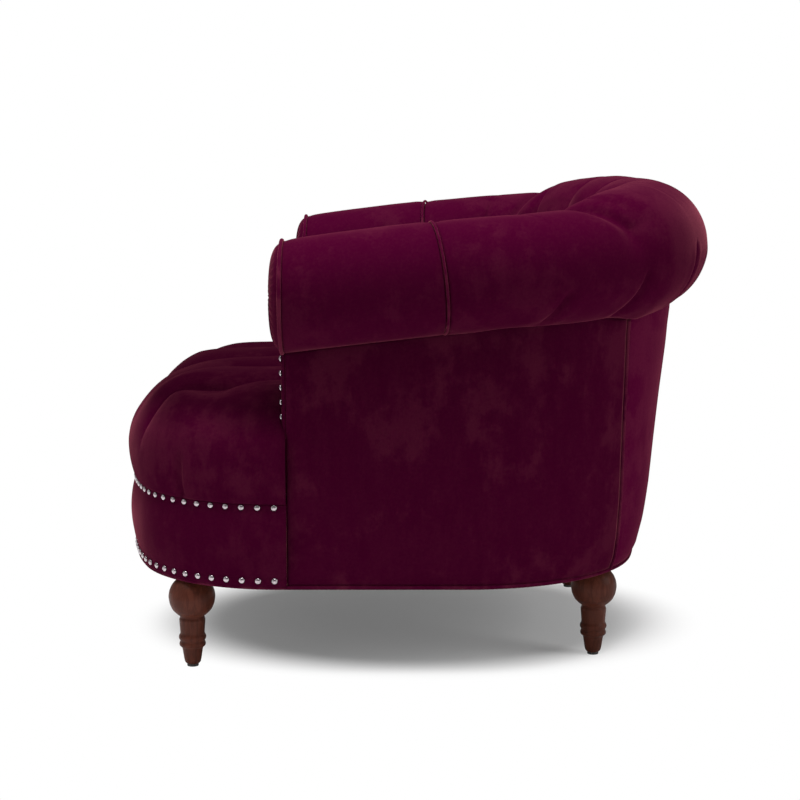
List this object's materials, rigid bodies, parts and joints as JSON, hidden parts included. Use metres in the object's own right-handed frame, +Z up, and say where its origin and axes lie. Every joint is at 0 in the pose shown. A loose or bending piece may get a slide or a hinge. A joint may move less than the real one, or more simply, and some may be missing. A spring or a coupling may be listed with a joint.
{
  "type": "deep-buttoned rolled-arm accent chair",
  "caption": "Low upholstered chair with a deep-buttoned wrap-round back, rolled arms that meet the back roll, a bowed buttoned seat and turned legs, for one sitter.",
  "frame": {"origin": "on the floor, under the middle of the chair's width and depth", "axes": "+Z up; the sitter faces -Y; +X is the sitter's left; +Y is behind the back"},
  "size_m": [0.917, 0.9628, 0.749],
  "materials": {
    "nail_heads": "nickel-plated steel, silvery and slightly worn on the crown",
    "velvet": "deep-pile burgundy velvet with a soft sheen",
    "frame_wood": "planed pale hardwood, unfinished",
    "velvet_piping": "burgundy velvet sewn over cord",
    "dust_cloth": "black non-woven cloth, matte",
    "glide": "black moulded plastic, matte",
    "velvet_outside": "the same burgundy velvet stretched flat",
    "deck_cloth": "unbleached woven cotton",
    "foam": "open-cell cushion foam",
    "webbing": "woven jute strap",
    "turned_wood": "reddish-brown stained hardwood under satin lacquer"
  },
  "bodies": {
    "root": {"apron_nails_lower": "nail_heads", "apron_nails_upper": "nail_heads", "apron_panel": "velvet", "arm_facings": "velvet", "arm_front_nails": "nail_heads", "arm_front_panel_left": "velvet", "arm_front_panel_right": "velvet", "arm_roll_left": "velvet", "arm_roll_right": "velvet", "arm_scroll_board_left": "frame_wood", "arm_scroll_board_right": "frame_wood", "arm_tack_rails": "frame_wood", "arm_top_rail_left": "frame_wood", "arm_top_rail_right": "frame_wood", "arm_welts": "velvet_piping", "back_roll": "velvet", "back_tack_rail": "frame_wood", "back_top_board": "frame_wood", "back_uprights": "frame_wood", "base_back_rail": "frame_wood", "base_front_rail": "frame_wood", "base_side_rail_left": "frame_wood", "base_side_rail_right": "frame_wood", "bottom_welt": "velvet_piping", "corner_blocks": "frame_wood", "dust_cover": "dust_cloth", "inside_arm_buttons": "velvet", "inside_arm_left": "velvet", "inside_arm_right": "velvet", "inside_back": "velvet", "inside_back_buttons": "velvet", "leg_glides": "glide", "outside_arm_left": "velvet_outside", "outside_arm_right": "velvet_outside", "outside_back": "velvet_outside", "rear_post_left": "frame_wood", "rear_post_right": "frame_wood", "rear_seam_welts": "velvet_piping", "seat_buttons": "velvet", "seat_deck_cloth": "deck_cloth", "seat_foam": "foam", "seat_pad": "velvet", "seat_webbing": "webbing", "turned_legs": "turned_wood"}
  },
  "joints": []
}
